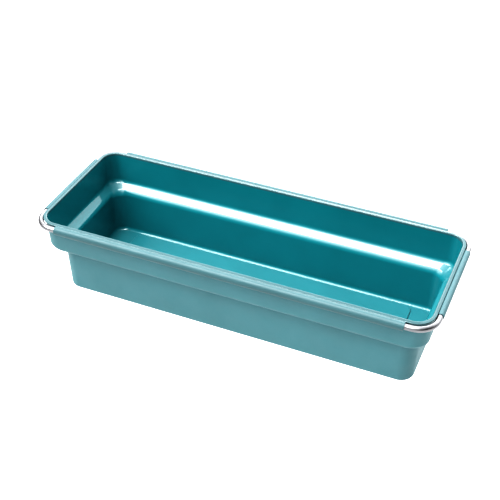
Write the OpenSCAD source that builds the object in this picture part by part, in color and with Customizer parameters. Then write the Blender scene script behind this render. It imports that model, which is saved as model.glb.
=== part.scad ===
// Stepped painting trough with a rolled rim and a pull-out wire handle at each end.
// +X runs along the length, +Y to the back, +Z up; the origin is the middle of the base.

/* [Tray] */
// Length of the opening between the inner edges of the rim
opening_len = 430; // [380:1:480]
// Width of the opening between the inner edges of the rim
opening_wid = 148.6; // [130:0.1:170]
// Height of the rim's inner edge above the base
rim_z = 98; // [85:1:115]
// Corner radius of the rim's inner edge
rim_corner_r = 16.5; // [15:0.5:24]
// Corner radius of the inside of the lower part, at its top
lower_corner_r = 14.5; // [12:0.5:18]
// Wall thickness
wall = 2.3; // [1.8:0.1:2.6]

/* [Ledge] */
// Drop from the rim to where the ledge begins
ledge_drop = 33; // [26:1:40]
// How far the ledge stands in along the long sides
ledge_wid = 12.5; // [11.5:0.1:14]
// How much narrower the ledge is at the two ends
ledge_end_less = 1.5; // [0:0.1:2]
// Tilt of the ledge's wall from upright, at its flattest
ledge_tilt = 60; // [50:1:65]
// Radius of the cove above the ledge, inside
cove_r = 5; // [4:0.5:6]
// Radius of the shoulder below the ledge, inside
shoulder_r = 8; // [7:0.5:9]

/* [Walls and floor] */
// How far the upper wall leans in over its height
upper_draft = 2; // [1:0.1:2.5]
// How far the lower wall leans in over its height
lower_draft = 1.5; // [1:0.1:2.5]
// Fillet between the wall and the floor, inside
floor_fillet_r = 4; // [3:0.5:5]
// Rounding of the base's outer edge
base_round_r = 3; // [2:0.5:4]
// Height of the raised floor panel
panel_h = 1.4; // [0.6:0.1:1.8]
// How much further in the floor panel stands at its two ends
panel_end_less = 21.5; // [0:0.5:40]

/* [Handles] */
// Wire radius
wire_r = 3.2; // [3:0.05:3.2]
// Distance from the rim's inner edge out to the wire's centre line
wire_out = 6.6; // [6.6:0.05:6.8]
// Drop from the rim's inner edge to the wire's centre line
wire_drop = 3.8; // [3.8:0.1:4]
// Radius of the wire's bends, at its centre line
bend_r = 21.5; // [20:0.5:24]
// Distance from the tray's middle to the inner ends of the wire's legs
leg_end_x = 50; // [40:1:70]
// Outer radius of the grip
grip_r = 3.95; // [3.9:0.05:4.1]
// Length of the grip
grip_len = 108; // [90:1:112]

/* [Rails] */
// How much shorter each rail is than the opening
rail_less = 42; // [40:1:60]
// Outer radius of the rail's round back
rail_r = 4.4; // [4.4:0.1:4.7]
// Radius of the channel in the rail
channel_r = 3.6; // [3.55:0.05:3.65]
// Rounding of the lower corner at each end of a rail
rail_end_r = 4; // [2:0.5:5]
// Length of the guide bush in each end of a rail
guide_len = 12; // [8:1:16]
// Length of the slide shoe on each leg
shoe_len = 24; // [16:1:30]

/* [Hidden] */

$fn = 64;
teal = [0.16, 0.55, 0.6];
dark_teal = [0.1, 0.4, 0.45];
chrome = [0.8, 0.81, 0.83];
nylon = [0.9, 0.9, 0.87];

half_x = opening_len / 2;
half_y = opening_wid / 2;

// Rim: a bead that the wall's inside flares into, drawn out into a thinner lip; both are round
bead_r = 1.2;
bead_out = 1.4;
bead_drop = 0.3;
lip_r = 0.8;
lip_out = 3.5;
lip_drop = 0.4;
flare_r = 4;
// Angle on the bead where the flare meets it, and the level where the flare leaves the wall
flare_meet = acos((bead_out - flare_r) / (flare_r - bead_r));
flare_drop = bead_drop + (flare_r - bead_r) * sin(flare_meet);
// Direction that the rim's top faces, square to the line that touches the bead and the lip
lip_reach = norm([lip_out - bead_out, lip_drop - bead_drop]);
top_facing = acos((bead_r - lip_r) / lip_reach) - atan2(lip_drop - bead_drop, lip_out - bead_out);
// Outer face of the wall at the rim's level
rim_wall_out = 2;

// The ledge's height and its straight slope follow from the two radii and the tilt
ledge_run = (ledge_wid - (cove_r + shoulder_r) * (1 - cos(ledge_tilt))) / sin(ledge_tilt);
ledge_h = (cove_r + shoulder_r) * sin(ledge_tilt) + ledge_run * cos(ledge_tilt);
ledge_top_z = rim_z - ledge_drop;

floor_z = 2.4;
panel_inset = 2;
panel_slope = 0.8;

// Segments on each quarter of a ring and on each arc of the wall's section
corner_seg = 10;
arc_seg = 5;
bead_seg = 6;

wire_z = rim_z - wire_drop;
wire_x = half_x + wire_out;
wire_y = half_y + wire_out;
rail_len = opening_len - rail_less;

// Fits: the shoe runs in the channel, the wire runs in the bush
run_gap = 0.07;
spigot_r = 2.2;
spigot_len = shoe_len - 2;
shoe_bevel = 0.8;
// Room between the grip and the rim, and the slit that the grip is snapped on by
grip_gap = 0.35;
slit_w = 1.6;

// Rail: its flange lies on the wall and stands on a snap rib
flange_t = 1.3;
flange_foot_drop = 12;
flange_top_drop = 4;
rib_h = 1.4;
rib_out = 2.9;
rib_end_gap = 4;
key_len = 8;
key_h = 3;
key_gap = 0.2;
notch_top_drop = 8;
contact = 0.02;
// The rail's back is two circles at this distance out, this far above and below its middle
rail_out = 6.5;
rail_drop = 4.1;
rail_spread = 0.45;
guide_inset = 1.2;
drain_r = 1.6;
drain_pitch = 60;
drain_pairs = 3;

// Position of the wall's outer face at a drop below the rim, measured out from the rim's inner edge
function wall_out(drop) = rim_wall_out + (wall - upper_draft - rim_wall_out) * drop / ledge_drop;

// Points of an arc in the wall's section, each [out, z]
function arc_points(c_out, c_z, r, from, to, n) =
    [for (i = [0:n]) let (a = from + (to - from) * i / n) [c_out + r * cos(a), c_z + r * sin(a)]];

// The ledge's S-shaped section from its top edge [out, z] down: one arc each way and a straight between
function ledge_points(out, z, r_above, r_below) =
    let (
        mid_out = out - r_above * (1 - cos(ledge_tilt)) - ledge_run * sin(ledge_tilt),
        mid_z = z - r_above * sin(ledge_tilt) - ledge_run * cos(ledge_tilt)
    )
    concat(
        arc_points(out - r_above, z, r_above, 0, -ledge_tilt, arc_seg),
        arc_points(mid_out + r_below * cos(ledge_tilt), mid_z - r_below * sin(ledge_tilt),
                   r_below, 180 - ledge_tilt, 180, arc_seg)
    );

inner_ledge_out = -upper_draft;
outer_ledge_out = wall - upper_draft;
inner_foot_out = inner_ledge_out - ledge_wid;
outer_foot_out = outer_ledge_out - ledge_wid;
floor_wall_out = inner_foot_out - lower_draft;

// The panel's long edges follow the wall, and its ends stand further in
panel_out = floor_wall_out - floor_fillet_r - panel_inset;

// The inside of the wall, from the rim down to the floor panel: [out, z], or [out, z, less at the ends]
inner_section = concat(
    arc_points(flare_r, rim_z - flare_drop, flare_r, flare_meet, 180, arc_seg),
    ledge_points(inner_ledge_out, ledge_top_z, cove_r, shoulder_r),
    arc_points(floor_wall_out - floor_fillet_r, floor_z + floor_fillet_r, floor_fillet_r, 0, -90, arc_seg),
    [
        [panel_out, floor_z, panel_end_less],
        [panel_out - panel_slope, floor_z + panel_h, panel_end_less]
    ]
);

// The outside of the wall, from under the bead down to the base
outer_section = concat(
    [[wall_out(lip_drop + lip_r), rim_z - lip_drop - lip_r]],
    ledge_points(outer_ledge_out, ledge_top_z, cove_r + wall, shoulder_r - wall),
    arc_points(outer_foot_out - lower_draft - base_round_r, base_round_r, base_round_r, 0, -90, arc_seg)
);

// The rim's round, from under the lip over the top to where the flare meets the bead
bead_points = arc_points(bead_out, rim_z - bead_drop, bead_r, top_facing, flare_meet, bead_seg);
bead_section = concat(
    arc_points(lip_out, rim_z - lip_drop, lip_r, -90, top_facing, bead_seg),
    [for (i = [0:bead_seg - 1]) bead_points[i]]
);

// How far down the ledge a level lies: 0 on the upper wall, 1 on the lower wall
function ledge_share(z) = min(1, max(0, (ledge_top_z - z) / ledge_h));

// Corner radius at a level: it follows the wall in and out, and tightens over the ledge
function ring_r(out, z) =
    let (
        s = ledge_share(z),
        upper = rim_corner_r + out,
        lower = lower_corner_r + out - inner_foot_out
    )
    upper + (lower - upper) * s;

// One rounded rectangle of points at a level, drawn in by end_less at its two ends
function ring(out, z, end_less = 0) =
    let (
        r = ring_r(out, z),
        cx = half_x + out + ledge_end_less * ledge_share(z) - end_less - r,
        cy = half_y + out - r
    )
    [
        for (q = [0:3], i = [0:corner_seg])
            let (
                a = 90 * (q + i / corner_seg),
                sx = (q == 0 || q == 3) ? 1 : -1,
                sy = (q < 2) ? 1 : -1
            )
            [sx * cx + r * cos(a), sy * cy + r * sin(a), z]
    ];

// The outer section turned round, so that the whole section runs base, rim, floor
outer_from_base = [for (i = [len(outer_section) - 1:-1:0]) outer_section[i]];
shell_section = concat(outer_from_base, bead_section, inner_section);

// The moulded shell: rings of points joined level by level, closed under the base and on the floor
module shell() {
    rings = len(shell_section);
    per_ring = 4 * (corner_seg + 1);
    points = [for (s = shell_section) each ring(s[0], s[1], len(s) > 2 ? s[2] : 0)];
    sides = [
        for (k = [0:rings - 2], i = [0:per_ring - 1])
            let (
                j = (i + 1) % per_ring,
                a = k * per_ring + i,
                b = k * per_ring + j,
                c = b + per_ring,
                d = a + per_ring
            )
            each [[a, c, b], [a, d, c]]
    ];
    base = [for (i = [0:per_ring - 1]) i];
    panel = [for (i = [0:per_ring - 1]) rings * per_ring - 1 - i];
    polyhedron(points, concat(sides, [base, panel]), convexity = 6);
}

// Snap rib that a rail stands on, and the key that stops the rail from creeping along it
module rail_seat() {
    rib_top = rim_z - flange_foot_drop - contact;
    root_out = wall_out(flange_foot_drop + rib_h) - wall / 2;
    for (side = [-1, 1]) translate([0, side * (half_y + (root_out + rib_out) / 2), rib_top]) {
        translate([0, 0, -rib_h / 2])
            cube([rail_len - 2 * (rail_end_r + rib_end_gap), rib_out - root_out, rib_h], center = true);
        translate([0, 0, (key_h - rib_h) / 2])
            cube([key_len, rib_out - root_out, key_h + rib_h], center = true);
    }
}

module tray_body() {
    color(teal) union() {
        shell();
        rail_seat();
    }
}

// Section of the front rail, drawn with x as the distance out from the rim's inner edge
module rail_section() {
    difference() {
        union() {
            for (side = [-1, 1]) translate([rail_out, side * rail_spread - rail_drop]) circle(rail_r);
            translate([rail_out, -rail_drop]) square([2 * rail_r, 2 * rail_spread], center = true);
            translate([wall_out(flange_foot_drop) - 1, -flange_foot_drop])
                square([flange_t + 1, flange_foot_drop - flange_top_drop]);
        }
        translate([wire_out, -wire_drop]) circle(channel_r);
        translate([lip_out, -lip_drop]) circle(lip_r + contact);
        wall_side();
        lip_side();
    }
}

// Everything on the tray's side of the wall's outer face
module wall_side() {
    top = [wall_out(0) + contact, 0];
    foot = [wall_out(2 * flange_foot_drop) + contact, -2 * flange_foot_drop];
    polygon([[-rail_r, 2 * rail_r], [top[0], 2 * rail_r], top, foot, [-rail_r, foot[1]]]);
}

// Everything on the tray's side of the lip's edge, from the lip's underside up
module lip_side() {
    translate([-rail_r, -lip_drop - lip_r - contact])
        square([rail_r + lip_out, 2 * rail_r]);
    translate([-rail_r, -lip_drop])
        square([rail_r + lip_out + lip_r + contact, 2 * rail_r]);
}

// What is cut off the lower corner at a rail's right-hand end, to round it
module rail_corner() {
    corner_z = rim_z - rail_drop - rail_spread - rail_r + rail_end_r;
    translate([rail_len / 2 - rail_end_r, -half_y, corner_z]) rotate([90, 0, 0]) difference() {
        translate([0, -4 * rail_end_r]) cube([2 * rail_end_r, 4 * rail_end_r, 4 * rail_r]);
        cylinder(r = rail_end_r, h = 10 * rail_r, center = true);
    }
}

// A rail on the front side: the section swept along X, with drain holes and the key's notch
module rail() {
    notch_h = 2 * (flange_foot_drop - notch_top_drop);
    difference() {
        translate([-rail_len / 2, -half_y, rim_z]) rotate([90, 0, 90]) mirror([1, 0, 0])
            linear_extrude(rail_len) rail_section();
        for (side = [-1, 1], i = [1:drain_pairs])
            translate([side * (i - 0.5) * drain_pitch, -wire_y, wire_z - 2 * rail_r])
                cylinder(r = drain_r, h = 2 * rail_r);
        translate([0, -half_y - wall_out(flange_foot_drop), rim_z - flange_foot_drop])
            cube([key_len + 2 * key_gap, 3 * flange_t, notch_h], center = true);
        rail_corner();
        mirror([1, 0, 0]) rail_corner();
    }
}

module front_rail() {
    color(teal) rail();
}

module rear_rail() {
    color(teal) rotate([0, 0, 180]) rail();
}

// Guide bush at a rail's end: side_x and side_y are 1 or -1
module guide(side_x, side_y) {
    color(nylon) translate([side_x * (rail_len / 2 - guide_inset - guide_len / 2), side_y * wire_y, wire_z])
        rotate([0, 90, 0]) difference() {
            cylinder(r = channel_r - contact, h = guide_len, center = true);
            cylinder(r = wire_r + run_gap, h = 2 * guide_len, center = true);
        }
}

module front_left_guide() {
    guide(-1, -1);
}

module front_right_guide() {
    guide(1, -1);
}

module rear_left_guide() {
    guide(-1, 1);
}

module rear_right_guide() {
    guide(1, 1);
}

// The right-hand U of wire: two legs, two bends and the cross bar
module wire_u() {
    leg_len = wire_x - bend_r - leg_end_x;
    bar_len = 2 * (wire_y - bend_r);
    translate([wire_x, 0, wire_z]) rotate([90, 0, 0]) cylinder(r = wire_r, h = bar_len, center = true);
    for (side = [-1, 1]) {
        translate([wire_x - bend_r, side * (wire_y - bend_r), wire_z]) rotate([0, 0, side > 0 ? 0 : -90])
            rotate_extrude(angle = 90) translate([bend_r, 0]) circle(wire_r);
        translate([leg_end_x + spigot_len, side * wire_y, wire_z]) rotate([0, 90, 0])
            cylinder(r = wire_r, h = leg_len - spigot_len);
        translate([leg_end_x, side * wire_y, wire_z]) rotate([0, 90, 0])
            cylinder(r = spigot_r, h = spigot_len);
    }
}

module right_handle_wire() {
    color(chrome) wire_u();
}

module left_handle_wire() {
    color(chrome) rotate([0, 0, 180]) wire_u();
}

// Section of the right-hand grip, drawn with x as the distance out from the wire's centre line
module grip_section() {
    lip_room = lip_r + grip_gap;
    difference() {
        circle(grip_r);
        translate([lip_out - wire_out, wire_drop - lip_drop]) circle(lip_room);
        translate([lip_out - wire_out - 2 * grip_r, wire_drop - lip_drop])
            square([2 * grip_r, 2 * lip_room], center = true);
        circle(wire_r);
        translate([-grip_r, 0]) square([2 * grip_r, slit_w], center = true);
    }
}

// Sleeve on the right-hand cross bar, slit towards the tray and relieved under the rim
module grip() {
    translate([wire_x, 0, wire_z]) rotate([90, 0, 0])
        linear_extrude(grip_len, center = true) grip_section();
}

module right_grip() {
    color(dark_teal) grip();
}

module left_grip() {
    color(dark_teal) rotate([0, 0, 180]) grip();
}

// Slide shoe on a leg's end: a bevelled bush on the wire's turned-down tip
module shoe(side_x, side_y) {
    color(nylon) translate([side_x * (leg_end_x + spigot_len - shoe_len / 2), side_y * wire_y, wire_z])
        rotate([0, 90, 0]) difference() {
            union() {
                cylinder(r = channel_r - run_gap, h = shoe_len - 2 * shoe_bevel, center = true);
                for (end = [-1, 1]) translate([0, 0, end * (shoe_len - shoe_bevel) / 2])
                    cylinder(r1 = channel_r - run_gap - (end < 0 ? shoe_bevel : 0),
                             r2 = channel_r - run_gap - (end > 0 ? shoe_bevel : 0),
                             h = shoe_bevel, center = true);
            }
            translate([0, 0, side_x * (shoe_len - spigot_len)])
                cylinder(r = spigot_r, h = shoe_len, center = true);
        }
}

module left_front_shoe() {
    shoe(-1, -1);
}

module left_rear_shoe() {
    shoe(-1, 1);
}

module right_front_shoe() {
    shoe(1, -1);
}

module right_rear_shoe() {
    shoe(1, 1);
}

tray_body();
front_rail();
rear_rail();
front_left_guide();
front_right_guide();
rear_left_guide();
rear_right_guide();
left_handle_wire();
left_grip();
left_front_shoe();
left_rear_shoe();
right_handle_wire();
right_grip();
right_front_shoe();
right_rear_shoe();
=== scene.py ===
"""Looks of the stepped trough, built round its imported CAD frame. All lengths are in metres."""

import math

import bmesh
import bpy
from mathutils import Matrix, Vector


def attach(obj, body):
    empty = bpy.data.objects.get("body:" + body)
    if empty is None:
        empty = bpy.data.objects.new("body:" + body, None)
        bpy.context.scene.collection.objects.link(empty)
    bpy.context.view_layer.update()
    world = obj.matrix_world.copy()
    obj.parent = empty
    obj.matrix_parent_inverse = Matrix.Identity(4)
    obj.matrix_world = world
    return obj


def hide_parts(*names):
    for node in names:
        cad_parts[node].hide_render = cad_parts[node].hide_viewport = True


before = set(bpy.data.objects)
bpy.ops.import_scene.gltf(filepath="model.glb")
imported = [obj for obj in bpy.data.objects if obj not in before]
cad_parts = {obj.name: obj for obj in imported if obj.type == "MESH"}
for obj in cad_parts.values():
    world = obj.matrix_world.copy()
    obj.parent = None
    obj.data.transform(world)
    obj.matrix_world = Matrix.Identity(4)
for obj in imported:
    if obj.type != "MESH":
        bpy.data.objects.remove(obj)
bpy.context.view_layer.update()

MM = 0.001

# ---------------------------------------------------------------- driving dimensions, as in the CAD
OPENING_LEN = 430 * MM
OPENING_WID = 148.6 * MM
RIM_Z = 98 * MM
RIM_CORNER_R = 16.5 * MM
LOWER_CORNER_R = 14.5 * MM
WALL = 2.3 * MM

LEDGE_DROP = 33 * MM
LEDGE_WID = 12.5 * MM
LEDGE_END_LESS = 1.5 * MM
LEDGE_TILT = math.radians(60)
COVE_R = 5 * MM
SHOULDER_R = 8 * MM

UPPER_DRAFT = 2 * MM
LOWER_DRAFT = 1.5 * MM
FLOOR_FILLET_R = 4 * MM
BASE_ROUND_R = 3 * MM
FLOOR_Z = 2.4 * MM
PANEL_H = 1.4 * MM
PANEL_INSET = 2 * MM
PANEL_SLOPE = 0.8 * MM
PANEL_END_LESS = 21.5 * MM
EDGE_R = 0.45 * MM

BEAD_R = 1.2 * MM
BEAD_OUT = 1.4 * MM
BEAD_DROP = 0.3 * MM
LIP_R = 0.8 * MM
LIP_OUT = 3.5 * MM
LIP_DROP = 0.4 * MM
FLARE_R = 4 * MM
FLARE_MEET = math.degrees(math.acos((BEAD_OUT - FLARE_R) / (FLARE_R - BEAD_R)))
FLARE_DROP = BEAD_DROP + (FLARE_R - BEAD_R) * math.sin(math.radians(FLARE_MEET))
LIP_REACH = math.hypot(LIP_OUT - BEAD_OUT, LIP_DROP - BEAD_DROP)
LIP_SLOPE = math.atan2(LIP_DROP - BEAD_DROP, LIP_OUT - BEAD_OUT)
TOP_FACING = math.degrees(math.acos((BEAD_R - LIP_R) / LIP_REACH) - LIP_SLOPE)
RIM_WALL_OUT = 2 * MM

HALF_X = OPENING_LEN / 2
HALF_Y = OPENING_WID / 2
LEDGE_RUN = (LEDGE_WID - (COVE_R + SHOULDER_R) * (1 - math.cos(LEDGE_TILT))) / math.sin(LEDGE_TILT)
LEDGE_H = (COVE_R + SHOULDER_R) * math.sin(LEDGE_TILT) + LEDGE_RUN * math.cos(LEDGE_TILT)
LEDGE_TOP_Z = RIM_Z - LEDGE_DROP

WIRE_R = 3.2 * MM
WIRE_OUT = 6.6 * MM
WIRE_DROP = 3.8 * MM
BEND_R = 21.5 * MM
LEG_END_X = 50 * MM
SHOE_LEN = 24 * MM
SPIGOT_R = 2.2 * MM
SPIGOT_LEN = SHOE_LEN - 2 * MM
WIRE_X = HALF_X + WIRE_OUT
WIRE_Y = HALF_Y + WIRE_OUT
WIRE_Z = RIM_Z - WIRE_DROP

RAIL_LEN = OPENING_LEN - 42 * MM
RAIL_END_R = 4 * MM
CONTACT = 0.02 * MM
FLANGE_FOOT_DROP = 12 * MM
RIB_H = 1.4 * MM
RIB_OUT = 2.9 * MM
RIB_END_GAP = 4 * MM
KEY_LEN = 8 * MM
KEY_H = 3 * MM
BLOCK_ROUND = 0.2 * MM
SOFT_EDGE = 0.25 * MM

# Rounding of the wire's tips, and how far in its middle point lies
TIP_ROUND = 0.4 * MM
TIP_EASE = 0.3 * TIP_ROUND

CORNER_SEG = 24
ARC_SEG = 12
BEAD_SEG = 12
BEND_SEG = 32
WIRE_SEG = 40


# ---------------------------------------------------------------- tray
def arc_points(c_out, c_z, r, start, end, n=ARC_SEG):
    """Points (out, z) along an arc of the section. Angles are in degrees."""
    turns = [math.radians(start + (end - start) * i / n) for i in range(n + 1)]
    return [(c_out + r * math.cos(a), c_z + r * math.sin(a)) for a in turns]


def ledge_points(out, z, r_above, r_below):
    """The ledge's S-shaped section from its top edge down."""
    cos_t, sin_t = math.cos(LEDGE_TILT), math.sin(LEDGE_TILT)
    tilt = math.degrees(LEDGE_TILT)
    mid_out = out - r_above * (1 - cos_t) - LEDGE_RUN * sin_t
    mid_z = z - r_above * sin_t - LEDGE_RUN * cos_t
    return (
        arc_points(out - r_above, z, r_above, 0, -tilt)
        + arc_points(mid_out + r_below * cos_t, mid_z - r_below * sin_t, r_below, 180 - tilt, 180)
    )


def wall_out(drop):
    """The wall's outer face at a drop below the rim, measured out from the rim's inner edge."""
    return RIM_WALL_OUT + (WALL - UPPER_DRAFT - RIM_WALL_OUT) * drop / LEDGE_DROP


def tray_section():
    """The wall's whole section as (out, z, end_less), from the base over the rim to the panel."""
    foot_out = WALL - UPPER_DRAFT - LEDGE_WID - LOWER_DRAFT
    outer = [(wall_out(LIP_DROP + LIP_R), RIM_Z - LIP_DROP - LIP_R)]
    outer += ledge_points(WALL - UPPER_DRAFT, LEDGE_TOP_Z, COVE_R + WALL, SHOULDER_R - WALL)
    outer += arc_points(foot_out - BASE_ROUND_R, BASE_ROUND_R, BASE_ROUND_R, 0, -90)
    rim = arc_points(LIP_OUT, RIM_Z - LIP_DROP, LIP_R, -90, TOP_FACING, BEAD_SEG)
    rim += arc_points(BEAD_OUT, RIM_Z - BEAD_DROP, BEAD_R, TOP_FACING, FLARE_MEET, BEAD_SEG)[:-1]
    floor_wall_out = -UPPER_DRAFT - LEDGE_WID - LOWER_DRAFT
    inner = arc_points(FLARE_R, RIM_Z - FLARE_DROP, FLARE_R, FLARE_MEET, 180)
    inner += ledge_points(-UPPER_DRAFT, LEDGE_TOP_Z, COVE_R, SHOULDER_R)
    fillet_out = floor_wall_out - FLOOR_FILLET_R
    inner += arc_points(fillet_out, FLOOR_Z + FLOOR_FILLET_R, FLOOR_FILLET_R, 0, -90)
    section = [(out, z, 0) for out, z in outer[::-1] + rim + inner]
    return section + panel_points(fillet_out - PANEL_INSET)


def panel_points(out):
    """The floor panel's edge: up from the floor, with a small round at its foot and at its top."""
    tilt = math.degrees(math.atan2(PANEL_H, PANEL_SLOPE))
    foot = EDGE_R * math.tan(math.radians(tilt / 2))
    low = arc_points(out + foot, FLOOR_Z + EDGE_R, EDGE_R, 270, 270 - tilt, 4)
    top = arc_points(out - PANEL_SLOPE - foot, FLOOR_Z + PANEL_H - EDGE_R, EDGE_R, 90 - tilt, 90, 4)
    return [(o, z, PANEL_END_LESS) for o, z in low + top]


def ledge_share(z):
    """How far down the ledge a level lies: 0 on the upper wall, 1 on the lower wall."""
    return min(1, max(0, (LEDGE_TOP_Z - z) / LEDGE_H))


def tray_ring(out, z, end_less):
    """One rounded rectangle of points, mirrored front to back about its middle."""
    share = ledge_share(z)
    upper = RIM_CORNER_R + out
    lower = LOWER_CORNER_R + out + UPPER_DRAFT + LEDGE_WID
    r = upper + (lower - upper) * share
    cx = HALF_X + out + LEDGE_END_LESS * share - end_less - r
    cy = HALF_Y + out - r
    points = []
    for quarter, (sx, sy) in enumerate([(1, 1), (-1, 1), (-1, -1), (1, -1)]):
        for i in range(CORNER_SEG + 1):
            a = math.pi / 2 * (quarter + i / CORNER_SEG)
            points.append((sx * cx + r * math.cos(a), sy * cy + r * math.sin(a), z))
    return points


def mesh_object(name, points, faces, body, material):
    """A smooth-shaded mesh piece that rides on a body."""
    mesh = bpy.data.meshes.new(name)
    mesh.from_pydata(points, [], faces)
    mesh.validate()
    made = bmesh.new()
    made.from_mesh(mesh)
    bmesh.ops.recalc_face_normals(made, faces=made.faces)
    made.to_mesh(mesh)
    made.free()
    mesh.shade_smooth()
    obj = bpy.data.objects.new(name, mesh)
    bpy.context.scene.collection.objects.link(obj)
    mesh.materials.append(material)
    weighted = obj.modifiers.new("flat_faces_stay_flat", "WEIGHTED_NORMAL")
    weighted.weight = 90
    weighted.keep_sharp = True
    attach(obj, body)
    return obj


def across_faces(first, n):
    """Quads that close a ring whose points k and n - 1 - k face each other."""
    return [
        (first + k, first + k + 1, first + n - 2 - k, first + n - 1 - k)
        for k in range(n // 2 - 1)
    ]


def build_tray(material):
    """The moulded shell: rings joined level by level, closed under the base and on the floor."""
    section = tray_section()
    n = 4 * (CORNER_SEG + 1)
    points = [p for out, z, end_less in section for p in tray_ring(out, z, end_less)]
    faces = []
    for k in range(len(section) - 1):
        for i in range(n):
            j = (i + 1) % n
            faces.append((k * n + i, k * n + j, (k + 1) * n + j, (k + 1) * n + i))
    faces += across_faces(0, n)
    faces += across_faces((len(section) - 1) * n, n)
    tray = mesh_object("tray_shell", points, faces, "tray", material)
    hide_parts("tray_body")
    root_out = wall_out(FLANGE_FOOT_DROP + RIB_H) - WALL / 2
    rib_top = RIM_Z - FLANGE_FOOT_DROP - CONTACT
    rib_half = RAIL_LEN / 2 - RAIL_END_R - RIB_END_GAP
    for side, where in ((-1, "front"), (1, "rear")):
        near, far = side * (HALF_Y + root_out), side * (HALF_Y + RIB_OUT)
        blocks = {
            f"{where}_snap_rib": (rib_half, rib_top - RIB_H, rib_top),
            f"{where}_rail_key": (KEY_LEN / 2, rib_top - RIB_H / 2, rib_top + KEY_H),
        }
        for name, (half, foot, top) in blocks.items():
            block(name, (-half, near, foot), (half, far, top), material)


def block(name, low, high, material):
    """A small moulded block with slightly rounded edges, between two corners."""
    made = bmesh.new()
    bmesh.ops.create_cube(made, size=1)
    middle = [(a + b) / 2 for a, b in zip(low, high)]
    for v in made.verts:
        v.co = [m + c * abs(b - a) for m, c, a, b in zip(middle, v.co, low, high)]
    edges = made.edges[:]
    bmesh.ops.bevel(made, geom=edges, offset=BLOCK_ROUND, segments=2, profile=0.5, affect="EDGES")
    points = [tuple(v.co) for v in made.verts]
    faces = [[v.index for v in f.verts] for f in made.faces]
    made.free()
    return mesh_object(name, points, faces, "tray", material)


# ---------------------------------------------------------------- wires
def swept(path_frames, outline):
    """Points of a closed outline carried along frames (place, across, up), and its side faces."""
    n = len(outline)
    points = [place + across * u + up * v for place, across, up in path_frames for u, v in outline]
    faces = [
        (k * n + i, k * n + (i + 1) % n, (k + 1) * n + (i + 1) % n, (k + 1) * n + i)
        for k in range(len(path_frames) - 1)
        for i in range(n)
    ]
    return points, faces


def soften(obj, width):
    """Rounds a CAD piece's edges slightly: welds its faces, shades them smooth and bevels them."""
    group = bpy.data.node_groups.new("weld_and_smooth", "GeometryNodeTree")
    group.interface.new_socket("Geometry", in_out="INPUT", socket_type="NodeSocketGeometry")
    group.interface.new_socket("Geometry", in_out="OUTPUT", socket_type="NodeSocketGeometry")
    enter, leave = group.nodes.new("NodeGroupInput"), group.nodes.new("NodeGroupOutput")
    weld = group.nodes.new("GeometryNodeMergeByDistance")
    weld.inputs["Distance"].default_value = 0.002 * MM
    smooth = group.nodes.new("GeometryNodeSetShadeSmooth")
    group.links.new(enter.outputs[0], weld.inputs["Geometry"])
    group.links.new(weld.outputs["Geometry"], smooth.inputs["Geometry"])
    group.links.new(smooth.outputs["Geometry"], leave.inputs[0])
    obj.modifiers.new("weld_and_smooth", "NODES").node_group = group
    rounded = obj.modifiers.new("rounded_edges", "BEVEL")
    rounded.width = width
    rounded.segments = 2
    rounded.limit_method = "ANGLE"
    rounded.angle_limit = math.radians(35)
    weighted = obj.modifiers.new("flat_faces_stay_flat", "WEIGHTED_NORMAL")
    weighted.weight = 50
    weighted.keep_sharp = False


def build_wire(name, side, material):
    """One U of bright wire: thinner leg ends with rounded tips, two bends and the cross bar."""
    up = Vector((0, 0, 1))
    corner_x, corner_y = WIRE_X - BEND_R, WIRE_Y - BEND_R
    step_x = LEG_END_X + SPIGOT_LEN
    stops = [
        (LEG_END_X, SPIGOT_R - TIP_ROUND),
        (LEG_END_X + TIP_EASE, SPIGOT_R - TIP_EASE),
        (LEG_END_X + TIP_ROUND, SPIGOT_R),
        (step_x, SPIGOT_R),
        (step_x, WIRE_R - TIP_ROUND),
        (step_x + TIP_EASE, WIRE_R - TIP_EASE),
        (step_x + TIP_ROUND, WIRE_R),
    ]
    half = [(Vector((x, -WIRE_Y, WIRE_Z)), Vector((0, -1, 0)), r) for x, r in stops]
    for i in range(BEND_SEG + 1):
        turn = math.pi / 2 * i / BEND_SEG
        out = Vector((math.sin(turn), -math.cos(turn), 0))
        half.append((Vector((corner_x, -corner_y, WIRE_Z)) + out * BEND_R, out, WIRE_R))
    mirror = Matrix.Diagonal((1, -1, 1))
    whole = half + [(mirror @ place, mirror @ out, r) for place, out, r in half[::-1]]
    turned = Matrix.Diagonal((side, side, 1))
    frames = [(turned @ place, turned @ out * r, up * r) for place, out, r in whole]
    turns = [2 * math.pi * i / WIRE_SEG for i in range(WIRE_SEG)]
    circle = [(math.cos(a), math.sin(a)) for a in turns]
    points, faces = swept(frames, circle)
    faces += [tuple(range(WIRE_SEG)), tuple(range(len(points) - WIRE_SEG, len(points)))]
    wire = mesh_object(name + "_bright", points, faces, name.replace("_wire", ""), material)
    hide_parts(name)


# ---------------------------------------------------------------- materials
def new_material(name):
    """A new material with its nodes, links and main shader."""
    material = bpy.data.materials.new(name)
    material.use_nodes = True
    nodes = material.node_tree.nodes
    return material, nodes, material.node_tree.links, nodes["Principled BSDF"]


def noise(nodes, links, scale, detail=3):
    """Noise in the object's own space, so it stays put when the object moves."""
    place = nodes.new("ShaderNodeTexCoord")
    made = nodes.new("ShaderNodeTexNoise")
    made.inputs["Scale"].default_value = scale
    made.inputs["Detail"].default_value = detail
    links.new(place.outputs["Object"], made.inputs["Vector"])
    return made.outputs["Fac"]


def spread(nodes, links, value, low, high):
    """Maps a noise to a range."""
    made = nodes.new("ShaderNodeMapRange")
    made.inputs["From Min"].default_value = 0.3
    made.inputs["From Max"].default_value = 0.7
    made.inputs["To Min"].default_value = low
    made.inputs["To Max"].default_value = high
    links.new(value, made.inputs["Value"])
    return made.outputs["Result"]


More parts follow.
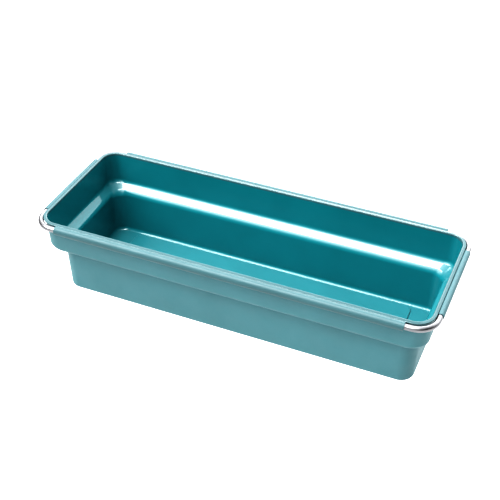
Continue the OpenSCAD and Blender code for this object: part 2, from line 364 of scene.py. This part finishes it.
def bump(nodes, links, value, distance, strength):
    """Shading normals from a height."""
    made = nodes.new("ShaderNodeBump")
    made.inputs["Distance"].default_value = distance
    made.inputs["Strength"].default_value = strength
    links.new(value, made.inputs["Height"])
    return made.outputs["Normal"]


def mixed(nodes, links, factor, a, b, kind):
    """The output of a node that goes from `a` to `b` with the factor."""
    mix = nodes.new("ShaderNodeMix")
    mix.data_type = kind
    socket = {s.name: s for s in mix.inputs if s.enabled}
    links.new(factor, socket["Factor"])
    links.new(a, socket["A"])
    links.new(b, socket["B"])
    return next(s for s in mix.outputs if s.enabled)


def between(nodes, links, factor, first, second):
    """A colour that goes from the first to the second with the factor."""
    mix = nodes.new("ShaderNodeMix")
    mix.data_type = "RGBA"
    socket = {s.name: s for s in mix.inputs if s.enabled}
    socket["A"].default_value = (*first, 1)
    socket["B"].default_value = (*second, 1)
    links.new(factor, socket["Factor"])
    return next(s for s in mix.outputs if s.enabled)


def shaded(nodes, links, colour, flow):
    """The colour, 5 % darker to 5 % lighter along the flow."""
    return between(nodes, links, flow, [c * 0.95 for c in colour], [c * 1.05 for c in colour])


def ramp(nodes, links, value, low, high, top=1.0):
    """A smooth step from 0 at `low` to `top` at `high`."""
    step = nodes.new("ShaderNodeMapRange")
    step.interpolation_type = "SMOOTHSTEP"
    step.inputs["From Min"].default_value = low
    step.inputs["From Max"].default_value = high
    step.inputs["To Max"].default_value = top
    links.new(value, step.inputs["Value"])
    return step.outputs["Result"]


def larger(nodes, links, a, b):
    """The larger of two values."""
    most = nodes.new("ShaderNodeMath")
    most.operation = "MAXIMUM"
    links.new(a, most.inputs[0])
    links.new(b, most.inputs[1])
    return most.outputs["Value"]


def rim_band(nodes, links):
    """1 on the rolled rim, 0 below it: where the rim's painted shade goes."""
    place = nodes.new("ShaderNodeTexCoord")
    height = nodes.new("ShaderNodeSeparateXYZ")
    links.new(place.outputs["Object"], height.inputs["Vector"])
    low, high = RIM_Z - 2.5 * MM, RIM_Z - 0.5 * MM
    return ramp(nodes, links, height.outputs["Z"], low, high)


def outer_side(nodes, links):
    """1 on faces that look away from the upright middle axis, 0 on all others."""
    place = nodes.new("ShaderNodeTexCoord")
    flat = nodes.new("ShaderNodeVectorMath")
    flat.operation = "MULTIPLY"
    flat.inputs[1].default_value = (1, 1, 0)
    links.new(place.outputs["Object"], flat.inputs[0])
    facing = nodes.new("ShaderNodeVectorMath")
    facing.operation = "DOT_PRODUCT"
    links.new(flat.outputs["Vector"], facing.inputs[0])
    links.new(place.outputs["Normal"], facing.inputs[1])
    return ramp(nodes, links, facing.outputs["Value"], 30 * MM, 50 * MM)


def top_painted_sheen(nodes, links):
    """0.45 on faces that look up, 0 on the upright ones: where a painted sheen goes on faces lit
    from above.
    """
    place = nodes.new("ShaderNodeTexCoord")
    facing = nodes.new("ShaderNodeSeparateXYZ")
    links.new(place.outputs["Normal"], facing.inputs["Vector"])
    return ramp(nodes, links, facing.outputs["Z"], 0.4, 0.9, 0.45)


def moulded_plastic(name, colour, roughness, outer=None):
    """Glossy moulded plastic: faint flow shading, an uneven gloss and a fine orange peel.

    `outer` is the (colour, roughness, rim colour) of a satin outer side that is less polished than
    the inside.
    Its paler colour, also laid on faces that look up, is a painted sheen; the darker rim colour is a
    painted shade.
    """
    material, nodes, links, shader = new_material(name)
    flow = spread(nodes, links, noise(nodes, links, 18), 0, 1)
    shades = shaded(nodes, links, colour, flow)
    gloss = spread(nodes, links, noise(nodes, links, 70), *roughness)
    if outer:
        painted_sheen_colour, outer_roughness, rim_painted_shade = outer
        side = outer_side(nodes, links)
        rim = rim_band(nodes, links)
        # Outward and upward faces get a paler colour: a painted sheen for the light they catch and
        # the bright table they reflect.
        painted_sheen_mask = larger(nodes, links, side, top_painted_sheen(nodes, links))
        shades = mixed(nodes, links, painted_sheen_mask, shades, shaded(nodes, links, painted_sheen_colour, flow), "RGBA")
        # The rim gets a darker teal: painted shade.
        shades = mixed(nodes, links, rim, shades, shaded(nodes, links, rim_painted_shade, flow), "RGBA")
        satin = spread(nodes, links, noise(nodes, links, 70), *outer_roughness)
        gloss = mixed(nodes, links, side, gloss, satin, "FLOAT")
    links.new(shades, shader.inputs["Base Color"])
    links.new(gloss, shader.inputs["Roughness"])
    peel = bump(nodes, links, noise(nodes, links, 420, 2), 0.02 * MM, 0.2)
    links.new(peel, shader.inputs["Normal"])
    shader.inputs["IOR"].default_value = 1.5
    return material


def chromed_wire(name):
    """Bright plating with a slightly uneven polish."""
    material, nodes, links, shader = new_material(name)
    shader.inputs["Metallic"].default_value = 1.0
    polish = spread(nodes, links, noise(nodes, links, 90), 0, 1)
    shades = between(nodes, links, polish, (0.22, 0.22, 0.23), (0.26, 0.26, 0.268))
    links.new(shades, shader.inputs["Base Color"])
    links.new(spread(nodes, links, noise(nodes, links, 160), 0.28, 0.36), shader.inputs["Roughness"])
    return material


def matte_nylon(name):
    """Natural nylon with a faint mottle."""
    material, nodes, links, shader = new_material(name)
    flow = spread(nodes, links, noise(nodes, links, 120), 0, 1)
    shades = between(nodes, links, flow, (0.76, 0.75, 0.7), (0.84, 0.83, 0.79))
    links.new(shades, shader.inputs["Base Color"])
    links.new(spread(nodes, links, noise(nodes, links, 300), 0.4, 0.55), shader.inputs["Roughness"])
    return material


# ---------------------------------------------------------------- studio
CAMERA_AZIMUTH = math.radians(23.25)
CAMERA_ELEVATION = math.radians(37.87)
CAMERA_DISTANCE = 1.0623
CAMERA_RIGHT = -0.00101
CAMERA_UP = -0.02279
LENS_MM = 71.5

FLOOR_HALF = 4
FLOOR_ALBEDO = 0.1
FLOOR_GLOW = 1.15
SURROUNDINGS = 0.03
# Banks of light: azimuth and elevation in degrees, tightness, radiance. Most of the radiances
# started from a least-squares fit, and then several were changed.
BANKS = [
    (0, 8, 10, 0.6),
    (135, 35, 12, 3.0),
    (180, 10, 10, 3.7),
    (180, 35, 12, 1.4),
    (203, 40, 12, 2.6),
    (225, 35, 12, 1.0),
    (315, 56, 9, 8.0),
    (0, 80, 12, 1.6),
]
STRIP_PLACE = (-0.41, -0.147, 1.26)
STRIP_SIZE = (0.9, 0.16)
STRIP_RADIANCE = 18


def towards(azimuth, elevation):
    """Unit vector at an azimuth from the front towards the right, and an elevation, in radians."""
    level = math.cos(elevation)
    return Vector((math.sin(azimuth) * level, -math.cos(azimuth) * level, math.sin(elevation)))


def camera_axes():
    """The camera's back, right and up directions."""
    back = towards(CAMERA_AZIMUTH, CAMERA_ELEVATION)
    right = Vector((math.cos(CAMERA_AZIMUTH), math.sin(CAMERA_AZIMUTH), 0))
    return back, right, back.cross(right)


def build_camera():
    """The camera, which looks past the middle of the rim from the front right."""
    back, right, up = camera_axes()
    data = bpy.data.cameras.new("camera")
    data.lens = LENS_MM
    data.sensor_width = 36
    data.clip_start = 0.05
    data.clip_end = 50
    camera = bpy.data.objects.new("camera", data)
    turned = Matrix((right, up, back)).transposed().to_4x4()
    place = back * CAMERA_DISTANCE + right * CAMERA_RIGHT + up * CAMERA_UP + Vector((0, 0, RIM_Z))
    camera.matrix_world = Matrix.Translation(place) @ turned
    bpy.context.scene.collection.objects.link(camera)
    bpy.context.scene.camera = camera


def softbox(name, place, size, radiance, target):
    """A rectangular light whose face has the given radiance."""
    data = bpy.data.lights.new(name, "AREA")
    data.shape = "RECTANGLE"
    data.size, data.size_y = size
    data.energy = radiance * math.pi * size[0] * size[1]
    light = bpy.data.objects.new(name, data)
    light.location = place
    light.rotation_mode = "QUATERNION"
    light.rotation_quaternion = (Vector(target) - Vector(place)).to_track_quat("-Z", "Y")
    bpy.context.scene.collection.objects.link(light)


def math_node(nodes, links, operation, first, second):
    """The value of a math node. Each of its two inputs is a socket or a number."""
    made = nodes.new("ShaderNodeMath")
    made.operation = operation
    for socket, value in zip(made.inputs, (first, second)):
        if isinstance(value, (int, float)):
            socket.default_value = value
        else:
            links.new(value, socket)
    return made.outputs["Value"]


def build_world(banks):
    """Dim white surroundings with soft banks of light round about."""
    world = bpy.data.worlds.new("studio")
    world.use_nodes = True
    bpy.context.scene.world = world
    nodes, links = world.node_tree.nodes, world.node_tree.links
    place = nodes.new("ShaderNodeTexCoord")
    total = SURROUNDINGS
    for azimuth, elevation, tightness, radiance in banks:
        facing = nodes.new("ShaderNodeVectorMath")
        facing.operation = "DOT_PRODUCT"
        facing.inputs[1].default_value = towards(math.radians(azimuth), math.radians(elevation))
        links.new(place.outputs["Generated"], facing.inputs[0])
        near = math_node(nodes, links, "MAXIMUM", facing.outputs["Value"], 0.0)
        lobe = math_node(nodes, links, "POWER", near, tightness)
        glow = math_node(nodes, links, "MULTIPLY", lobe, radiance)
        total = math_node(nodes, links, "ADD", glow, total)
    background = nodes["Background"]
    background.inputs["Color"].default_value = (1, 1, 1, 1)
    links.new(total, background.inputs["Strength"])


def build_floor():
    """A bright, plain sweep of table: it glows a little, so the object throws no hard shadow."""
    mesh = bpy.data.meshes.new("floor")
    corners = [(x * FLOOR_HALF, y * FLOOR_HALF, 0) for x, y in ((-1, -1), (1, -1), (1, 1), (-1, 1))]
    mesh.from_pydata(corners, [], [(0, 1, 2, 3)])
    floor = bpy.data.objects.new("floor", mesh)
    bpy.context.scene.collection.objects.link(floor)
    material, _, _, shader = new_material("pale_floor")
    shader.inputs["Base Color"].default_value = (FLOOR_ALBEDO, FLOOR_ALBEDO, FLOOR_ALBEDO, 1)
    shader.inputs["Roughness"].default_value = 0.9
    shader.inputs["Specular IOR Level"].default_value = 0.0
    shader.inputs["Emission Color"].default_value = (1, 1, 1, 1)
    shader.inputs["Emission Strength"].default_value = FLOOR_GLOW
    mesh.materials.append(material)


# ---------------------------------------------------------------- assembly
build_camera()
build_world(BANKS)
build_floor()
softbox("overhead_strip", STRIP_PLACE, STRIP_SIZE, STRIP_RADIANCE, (*STRIP_PLACE[:2], 0))

# The tray's outer side: its colour, paler as a painted sheen; its roughness; and the colour of the
# rim, darker as a painted shade
OUTER_SATIN_SHEEN_SHADE = ((0.056, 0.158, 0.176), (0.5, 0.6), (0.052, 0.108, 0.118))
tray_plastic = moulded_plastic("tray_plastic", (0.012, 0.16, 0.182), (0.06, 0.09), OUTER_SATIN_SHEEN_SHADE)
# The rails' teal is the tray's plastic painted darker: painted shade on faces that catch more light.
rail_plastic = moulded_plastic("rail_plastic", (0.038, 0.1, 0.111), (0.42, 0.5))
grip_plastic = moulded_plastic("grip_plastic", (0.04, 0.105, 0.118), (0.4, 0.5))
wire_chrome = chromed_wire("wire_chrome")
nylon = matte_nylon("nylon")

build_tray(tray_plastic)
build_wire("left_handle_wire", -1, wire_chrome)
build_wire("right_handle_wire", 1, wire_chrome)
finish_of = {
    "tray_body": tray_plastic,
    "front_rail": rail_plastic,
    "rear_rail": rail_plastic,
    "left_grip": grip_plastic,
    "right_grip": grip_plastic,
    "left_handle_wire": wire_chrome,
    "right_handle_wire": wire_chrome,
}
for name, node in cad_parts.items():
    node.data.materials.clear()
    node.data.materials.append(finish_of.get(name, nylon))
for name in ("front_rail", "rear_rail", "left_grip", "right_grip"):
    soften(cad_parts[name], SOFT_EDGE)

bpy.context.scene.view_settings.view_transform = "Standard"
bpy.context.scene.view_settings.look = "Very High Contrast"
